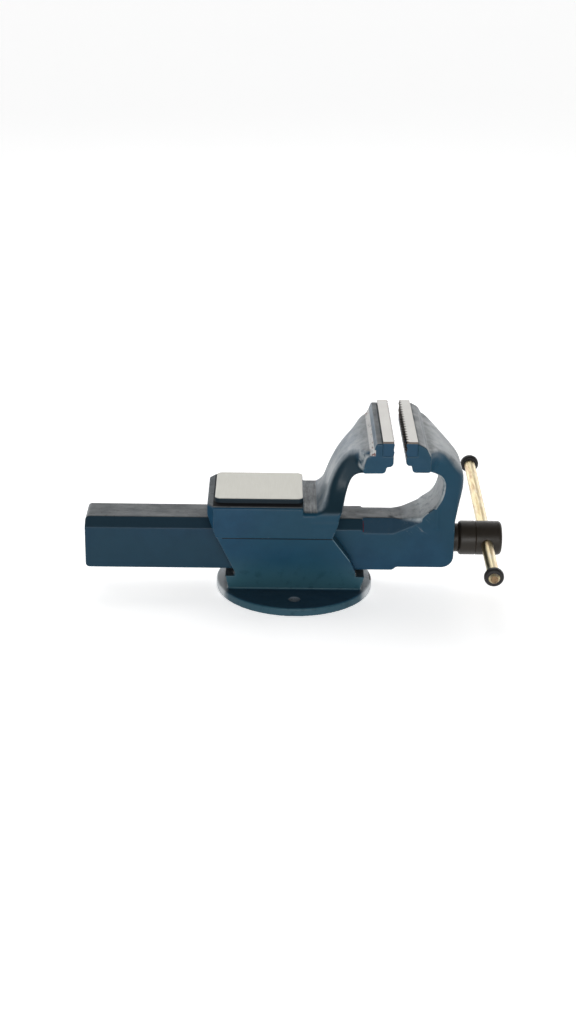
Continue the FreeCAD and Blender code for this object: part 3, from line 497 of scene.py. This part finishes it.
def zinc_bar():
    """Yellow zinc with streaks drawn along the bar, and brown bare ends."""
    graph = Graph("yellow_zinc")
    drawn = graph.stretched(1.0, 0.07, 1.0)
    streaks = graph.step(graph.noise(420, 3, 0.6, drawn), 0.30, 0.70)
    colour = graph.mix(streaks, *ZINC)
    stain = graph.step(graph.noise(190, 4, 0.65, graph.stretched(1.0, 0.2, 1.0), 2.0), 0.48, 0.66)
    colour = graph.mix(graph.math("MULTIPLY", stain, 0.6), colour, ZINC_STAIN)
    pale = graph.step(graph.noise(120, 3, 0.6, graph.stretched(1.0, 0.25, 1.0), 4.0), 0.52, 0.68)
    colour = graph.mix(graph.math("MULTIPLY", pale, 0.5), colour, ZINC_PALE)
    axial = graph.node("VectorMath", {0: graph.facing, 1: (0, math.cos(BAR_TILT), math.sin(BAR_TILT))},
                       output=1, operation="DOT_PRODUCT")
    cap = graph.step(graph.math("ABSOLUTE", axial), 0.90, 0.97)
    colour = graph.mix(cap, colour, graph.mix(stain, *BAR_END))
    graph.set(Base_Color=colour, Metallic=1.0, Roughness=graph.step(streaks, 0.0, 1.0, 0.30, 0.42),
              Normal=graph.bump(streaks, 0.02 * MM, 0.5))
    return graph.material


def satin_black(name, tint):
    """Blackened steel: nearly black, with a soft sheen and brown rubs on its edges."""
    graph = Graph(name)
    fine = graph.noise(700, 3, 0.6)
    edge = graph.edge_share(0.8 * MM)
    colour = graph.mix(fine, tint, tuple(part * 1.8 for part in tint))
    rub = graph.both(edge, graph.step(graph.noise(150, 3, seed=3.0), 0.45, 0.6))
    colour = graph.mix(rub, colour, EDGE_RUB)
    graph.set(Base_Color=colour, Roughness=graph.step(graph.noise(60, 3, seed=5.0), 0.3, 0.7, 0.34, 0.5),
              Normal=graph.bump(fine, 0.05 * MM, 0.5), Specular_IOR_Level=BLACK_SPECULAR)
    return graph.material


def dress(node, material):
    """Give a carried-over node its material."""
    slots = nodes[node].material_slots
    if not slots:
        nodes[node].data.materials.append(material)
    for place in slots:
        place.material = material


# ---------------------------------------------------------------- pieces made here

def body_of(node):
    """The name of the moving body that holds the node."""
    groups = frame["record"]["behaviour"]["bodies"]
    return next(name for name, members in groups.items() if node in members)


def link(name, mesh):
    piece = bpy.data.objects.new(name, mesh)
    bpy.context.collection.objects.link(piece)
    return piece


def baked(piece):
    """Turn the piece's modifiers into its mesh."""
    depsgraph = bpy.context.evaluated_depsgraph_get()
    mesh = bpy.data.meshes.new_from_object(piece.evaluated_get(depsgraph))
    piece.modifiers.clear()
    piece.data = mesh


def flash_bead():
    """The ragged line of flash that was left where the fixed arm's back meets its head."""
    place_x, place_z, half_length = 86.4 * MM, 196.6 * MM, 73 * MM
    mean_thick, uneven, drift = 1.45, 0.85, 0.7 * MM
    count, sides = 110, 10
    noise.seed_set(FLASH_SEED)
    rings = []
    for index in range(count + 1):
        y = half_length * (2 * index / count - 1)
        wander = noise.noise_vector(Vector((index * 0.23, 4.0, 1.0)))
        thick = (mean_thick + uneven * noise.noise(Vector((index * 0.61, 0.5, 7.0)))) * MM
        centre_x = place_x + drift * wander.x
        centre_z = place_z + drift * wander.z
        turns = (math.tau * side / sides for side in range(sides))
        rings.append([(centre_x + thick * math.cos(turn), y, centre_z + thick * math.sin(turn))
                      for turn in turns])
    return grid_mesh("flash_bead", rings)


def cast_skin(node, material, extra=None):
    """A casting with every corner eased, as poured iron leaves it; extra is iron left on it."""
    both = bmesh.new()
    both.from_mesh(nodes[node].data)
    if extra is not None:
        both.from_mesh(extra)
    mesh = bpy.data.meshes.new(node + "_cast")
    both.to_mesh(mesh)
    both.free()
    skin = link(node + "_cast", mesh)
    even = skin.modifiers.new("even", "REMESH")
    even.mode = "VOXEL"
    even.voxel_size = CAST_VOXEL
    ease = skin.modifiers.new("ease", "SMOOTH")
    ease.factor = 0.5
    ease.iterations = 6
    baked(skin)
    thin = skin.modifiers.new("thin", "DECIMATE")
    thin.ratio = 0.30
    baked(skin)
    skin.data.shade_smooth()
    skin.data.materials.clear()
    skin.data.materials.append(material)
    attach(skin, body_of(node))
    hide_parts(node)


def grid_mesh(name, rings):
    """A closed skin over rings of equal length; the first and last rings are capped."""
    mesh = bmesh.new()
    rows = [[mesh.verts.new(point) for point in ring] for ring in rings]
    count = len(rings[0])
    for row, after in zip(rows, rows[1:]):
        for index in range(count):
            beside = (index + 1) % count
            mesh.faces.new((row[index], row[beside], after[beside], after[index]))
    mesh.faces.new(rows[0][::-1])
    mesh.faces.new(rows[-1])
    bmesh.ops.recalc_face_normals(mesh, faces=mesh.faces)
    data = bpy.data.meshes.new(name)
    mesh.to_mesh(data)
    mesh.free()
    return data


def thread_height(turns):
    """Share of the thread's depth at this many turns along it: flat crest, sloped flanks, flat root."""
    half_foot, flank = 0.34, 0.12
    phase = turns % 1.0
    return min(max((half_foot - abs(phase - 0.5)) / flank, 0.0), 1.0)


def threaded_spindle():
    """The spindle with its right-hand trapezoidal thread cut as real geometry."""
    low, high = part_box("spindle_screw")
    lead_in, nose, relief = 3 * MM, 9 * MM, 4 * MM
    radius, journal_rear, bevel = 12 * MM, 119 * MM, 0.5 * MM
    start, thread_end = low.x + lead_in, journal_rear - relief
    middle = (low.z + high.z) / 2
    per_pitch, sides = 12, 40
    stations = [(low.x, nose, False)]
    count = round((thread_end - start) / THREAD_PITCH * per_pitch)
    stations += [(start + (thread_end - start) * index / count, radius, True) for index in range(count + 1)]
    root = radius - THREAD_DEPTH
    stations += [(thread_end + 0.2 * MM, root, False), (journal_rear, root, False)]
    head_rear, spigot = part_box("spindle_head")[0].x, 10 * MM
    journal = (high.z - low.z) / 2
    stations += [(journal_rear, journal - bevel, False), (journal_rear + bevel, journal, False)]
    stations += [(head_rear, journal, False), (head_rear, spigot, False), (high.x, spigot, False)]
    rings = []
    for place, reach, threaded in stations:
        ring = []
        for side in range(sides):
            turn = math.tau * side / sides
            size = reach
            if threaded:
                turns = (place - start) / THREAD_PITCH - side / sides
                size -= THREAD_DEPTH * (1 - thread_height(turns))
            ring.append((place, size * math.cos(turn), middle + size * math.sin(turn)))
        rings.append(ring)
    spindle = link("spindle_threaded", grid_mesh("spindle_threaded", rings))
    shade_by_angle(spindle, 35)
    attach(spindle, "spindle")
    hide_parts("spindle_screw")
    return spindle


def coil_spring():
    """An open coil of round wire, its end turns closed up and laid flat."""
    low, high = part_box("spindle_spring")
    middle_y, middle_z = (low.y + high.y) / 2, (low.z + high.z) / 2
    radius = (high.y - low.y) / 2 - SPRING_WIRE
    per_turn, sides = 40, 12
    first, last = low.x + SPRING_WIRE, high.x - SPRING_WIRE
    rings = []
    count = round(SPRING_TURNS * per_turn)
    for index in range(count + 1):
        done = SPRING_TURNS * index / count
        share = min(max((done - CLOSED_TURN) / (SPRING_TURNS - 2 * CLOSED_TURN), 0.0), 1.0)
        turn = math.tau * done
        centre = Vector((first + (last - first) * share, middle_y + radius * math.cos(turn),
                         middle_z + radius * math.sin(turn)))
        outward = Vector((0, math.cos(turn), math.sin(turn)))
        ring = []
        for side in range(sides):
            angle = math.tau * side / sides
            across = outward * (SPRING_WIRE * math.cos(angle))
            ring.append(centre + across + Vector((SPRING_WIRE * math.sin(angle), 0, 0)))
        rings.append(ring)
    spring = link("spring_coil", grid_mesh("spring_coil", rings))
    shade_by_angle(spring, 50)
    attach(spring, "spindle")
    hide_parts("spindle_spring")
    return spring


def shade_by_angle(piece, degrees):
    """Smooth shading, with edges sharper than the angle kept sharp."""
    piece.data.shade_smooth()
    mesh = bmesh.new()
    mesh.from_mesh(piece.data)
    for edge in mesh.edges:
        edge.smooth = len(edge.link_faces) != 2 or edge.calc_face_angle(0.0) < math.radians(degrees)
    mesh.to_mesh(piece.data)
    mesh.free()


# ---------------------------------------------------------------- stage

def make_floor():
    mesh = bpy.data.meshes.new("floor")
    corners = [(x * FLOOR_REACH, y * FLOOR_REACH, 0) for x, y in ((-1, -1), (1, -1), (1, 1), (-1, 1))]
    mesh.from_pydata(corners, [], [(0, 1, 2, 3)])
    floor = link("floor", mesh)
    graph = Graph("floor_white")
    tone = graph.mix(graph.noise(3, 2), (0.86, 0.86, 0.86), (0.88, 0.88, 0.88))
    graph.set(Base_Color=tone, Roughness=0.9, Emission_Color=(1.0, 1.0, 1.0),
              Emission_Strength=FLOOR_GLOW)
    mesh.materials.append(graph.material)


def add_light(name, place, target, size, power):
    """A soft rectangular light, itself unseen."""
    data = bpy.data.lights.new(name, "AREA")
    data.shape = "RECTANGLE"
    data.size, data.size_y = size
    data.energy = power
    light = bpy.data.objects.new(name, data)
    light.location = place
    light.rotation_euler = (Vector(target) - Vector(place)).to_track_quat("-Z", "Y").to_euler()
    light.visible_camera = False
    bpy.context.collection.objects.link(light)


def light_studio():
    """A dim room, a bright sweep low down behind the object, and soft lights above, beside and before it."""
    world = bpy.data.worlds.new("studio")
    bpy.context.scene.world = world
    world.use_nodes = True
    tree = world.node_tree
    place = tree.nodes.new("ShaderNodeTexCoord")
    split = tree.nodes.new("ShaderNodeSeparateXYZ")
    tree.links.new(place.outputs["Generated"], split.inputs[0])

    def fade(letter, start, end, low, high):
        made = tree.nodes.new("ShaderNodeMapRange")
        made.interpolation_type = "SMOOTHSTEP"
        tree.links.new(split.outputs[letter], made.inputs["Value"])
        for name, value in (("From Min", start), ("From Max", end), ("To Min", low), ("To Max", high)):
            made.inputs[name].default_value = value
        return made.outputs[0]

    sweep = tree.nodes.new("ShaderNodeMath")
    sweep.operation = "MULTIPLY"
    tree.links.new(fade("Y", 0.0, 0.6, 0.0, 1.0), sweep.inputs[0])
    tree.links.new(fade("Z", 0.0, 0.75, SWEEP_LIGHT, 0.0), sweep.inputs[1])
    total = tree.nodes.new("ShaderNodeMath")
    total.operation = "ADD"
    tree.links.new(sweep.outputs[0], total.inputs[0])
    total.inputs[1].default_value = ROOM_LIGHT
    tree.links.new(total.outputs[0], tree.nodes["Background"].inputs["Strength"])
    tree.nodes["Background"].inputs["Color"].default_value = (1, 1, 1, 1)
    add_light("overhead", (-0.3, 1.25, 1.7), (0, 0, 0.1), (1.6, 1.6), 15)
    add_light("side", (-1.8, 0.5, 0.7), (0, 0, 0.1), (0.8, 0.8), 4)
    add_light("front", (0.1, -1.7, 0.3), (0, 0, 0.06), (1.6, 0.5), 14)


# ---------------------------------------------------------------- the object

place_camera()
bpy.context.scene.view_settings.view_transform = "Standard"
light_studio()
make_floor()

cast_skin("fixed_body", fixed_enamel(*ANVIL_PAD), flash_bead())
cast_skin("sliding_jaw", sliding_enamel())
fixed_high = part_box("fixed_jaw_plate")[1]
slide_low, slide_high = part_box("sliding_jaw_plate")
dress("fixed_jaw_plate",
      jaw_steel("fixed_plate_steel", fixed_high.x, 1, fixed_high.z, 2.5 * MM, 1.5 * MM))
dress("sliding_jaw_plate",
      jaw_steel("sliding_plate_steel", slide_low.x, -1, slide_high.z, 2.5 * MM, 3.0 * MM))

dress("handle_bar", zinc_bar())
black = satin_black("black_steel", (0.014, 0.011, 0.008))
for name in ("spindle_head", "thrust_collar"):
    dress(name, black)
ring_black = satin_black("black_ring", (0.010, 0.009, 0.009))
for name in ("near_handle_ring", "far_handle_ring"):
    dress(name, ring_black)
screw_steel = turned_metal("screw_steel", (0.30, 0.29, 0.28), (0.45, 0.44, 0.42), 0.28, 0.4)
for name in ("head_pin", "keeper_pin", "spring_keeper"):
    dress(name, screw_steel)
threaded_spindle().data.materials.append(screw_steel)
coil_spring().data.materials.append(screw_steel)
dark_steel = turned_metal("fastener_steel", (0.05, 0.05, 0.052), (0.10, 0.10, 0.105), 0.35, 0.5)
for name in ("fixed_plate_screws", "sliding_plate_screws", "nut_screws", "nut_washers", "spring_washer"):
    dress(name, dark_steel)
dress("spindle_nut", turned_metal("nut_iron", (0.18, 0.17, 0.16), (0.27, 0.26, 0.25), 0.4, 0.55))
